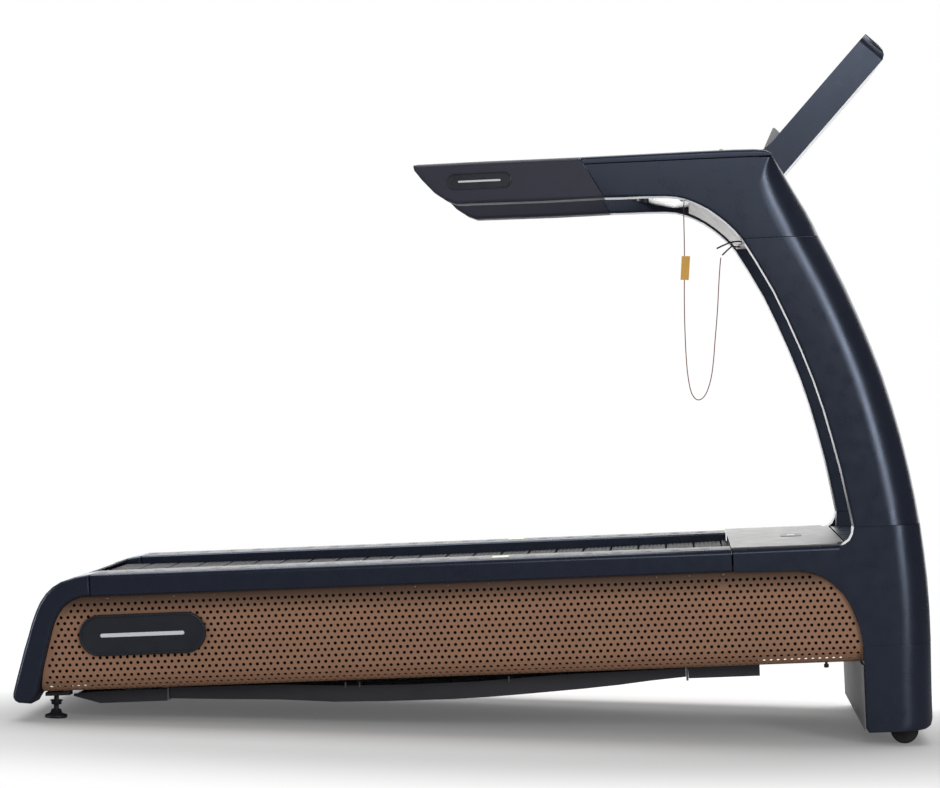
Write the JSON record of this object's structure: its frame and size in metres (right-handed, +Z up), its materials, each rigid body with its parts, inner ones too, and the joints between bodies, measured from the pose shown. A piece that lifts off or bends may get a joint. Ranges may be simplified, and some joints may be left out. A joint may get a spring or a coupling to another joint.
{
  "type": "self-powered slat-belt treadmill",
  "caption": "Self-powered slat-belt treadmill: perforated side panels, swept twin masts and long arms, angled console and clip-on safety lanyard.",
  "frame": {"origin": "centre of the bounding box, on the floor", "axes": "+X forward, the way the runner faces; +Y to the runner's left; +Z up from the floor"},
  "size_m": [2.1262, 0.9252, 1.643],
  "materials": {
    "bearing_steel": "ground",
    "navy_coat": "satin powder coat",
    "grey_tread": "moulded, matte",
    "lime_plastic": "gloss",
    "copper_panel": "perforated, satin metallic coat",
    "badge_plastic": "satin",
    "navy_plastic": "satin",
    "grip_rubber": "soft touch, matte",
    "frame_steel": "satin",
    "slat_rubber": "ribbed, matte",
    "cast_housing": "cast",
    "belt_rubber": "matte",
    "pan_black": "satin",
    "deck_cover": "satin",
    "rear_plate": "satin",
    "bridge_cover": "satin",
    "gloss_black": "gloss",
    "screen_glass": "gloss",
    "shelf_plastic": "satin",
    "red_plastic": "gloss",
    "cord_fabric": "braided",
    "tag_amber": "matte",
    "clip_black": "satin",
    "drum_steel": "turned",
    "rotor_steel": "turned",
    "wheel_rubber": "matte",
    "foot_black": "matte"
  },
  "bodies": {
    "machine": {"main_frame": "frame_steel", "slat_belt": "slat_rubber", "generator_housing": "cast_housing", "drive_belt": "belt_rubber", "rear_cross_cover": "navy_plastic", "belly_pan_rear": "pan_black", "belly_pan_middle": "pan_black", "belly_pan_front": "pan_black", "front_deck_cover": "deck_cover", "front_cross_cover": "navy_plastic", "front_rear_plate": "rear_plate", "console_bridge": "bridge_cover", "tray_under_cover": "gloss_black", "console_shell": "navy_plastic", "console_screen": "screen_glass", "tablet_shelf": "shelf_plastic", "status_lamp": "lime_plastic", "safety_key": "clip_black", "lanyard_cord": "cord_fabric", "lanyard_tag": "tag_amber", "clip_base": "clip_black", "left_bearing_rail": "bearing_steel", "right_bearing_rail": "bearing_steel", "left_rail": "navy_coat", "right_rail": "navy_coat", "left_rail_tread": "grey_tread", "right_rail_tread": "grey_tread", "left_rail_marker": "lime_plastic", "right_rail_marker": "lime_plastic", "left_side_panel": "copper_panel", "right_side_panel": "copper_panel", "left_side_badge": "badge_plastic", "right_side_badge": "badge_plastic", "left_rear_end_cap": "navy_plastic", "right_rear_end_cap": "navy_plastic", "left_base_housing": "navy_plastic", "right_base_housing": "navy_plastic", "left_leg_shroud": "navy_plastic", "right_leg_shroud": "navy_plastic", "left_mast": "navy_plastic", "right_mast": "navy_plastic", "left_elbow": "navy_plastic", "right_elbow": "navy_plastic", "left_arm_top_cap": "navy_plastic", "right_arm_top_cap": "navy_plastic", "left_hand_grip": "grip_rubber", "right_hand_grip": "grip_rubber", "left_arm_badge": "badge_plastic", "right_arm_badge": "badge_plastic"},
    "front_drum_body": {"front_drum": "drum_steel"},
    "rear_drum_body": {"rear_drum": "drum_steel"},
    "generator_body": {"generator_rotor": "rotor_steel"},
    "left_wheel_body": {"left_transport_wheel": "wheel_rubber"},
    "right_wheel_body": {"right_transport_wheel": "wheel_rubber"},
    "left_foot_body": {"left_rear_foot": "foot_black"},
    "right_foot_body": {"right_rear_foot": "foot_black"},
    "stop_button_body": {"stop_button": "red_plastic"},
    "clip_lever_body": {"clip_lever": "clip_black"}
  },
  "joints": [
    {"name": "front_drum_spin", "type": "hinge", "parent": "machine", "child": "front_drum_body", "pos_m": [0.58399, 0, 0.30017], "axis": [0, 1, 0], "continuous": true},
    {"name": "rear_drum_spin", "type": "hinge", "parent": "machine", "child": "rear_drum_body", "pos_m": [-0.88494, 0, 0.20518], "axis": [0, 1, 0], "continuous": true},
    {"name": "generator_spin", "type": "hinge", "parent": "machine", "child": "generator_body", "pos_m": [0.8901, 0, 0.29291], "axis": [0, 1, 0], "continuous": true},
    {"name": "left_wheel_spin", "type": "hinge", "parent": "machine", "child": "left_wheel_body", "pos_m": [0.999, 0.39, 0.032], "axis": [0, 1, 0], "continuous": true},
    {"name": "right_wheel_spin", "type": "hinge", "parent": "machine", "child": "right_wheel_body", "pos_m": [0.999, -0.39, 0.032], "axis": [0, 1, 0], "continuous": true},
    {"name": "left_foot_adjust", "type": "slide", "parent": "machine", "child": "left_foot_body", "axis": [0, 0, 1], "range_m": [-0.01, 0.009]},
    {"name": "right_foot_adjust", "type": "slide", "parent": "machine", "child": "right_foot_body", "axis": [0, 0, 1], "range_m": [-0.01, 0.009]},
    {"name": "stop_button_press", "type": "slide", "parent": "machine", "child": "stop_button_body", "axis": [0.0645, 0, -0.9979], "range_m": [0, 0.004], "stiffness_N_per_m": 900, "springref_m": -0.001},
    {"name": "clip_lever_squeeze", "type": "hinge", "parent": "machine", "child": "clip_lever_body", "pos_m": [0.57469, -0.33, 1.14133], "axis": [0, -1, 0], "range_deg": [0, 6], "stiffness_Nm_per_rad": 0.6, "springref_deg": -8.59}
  ],
  "couplings": [
    {"joint": "rear_drum_spin", "follows": "front_drum_spin", "ratio": 1},
    {"joint": "generator_spin", "follows": "front_drum_spin", "ratio": 2.1875}
  ]
}
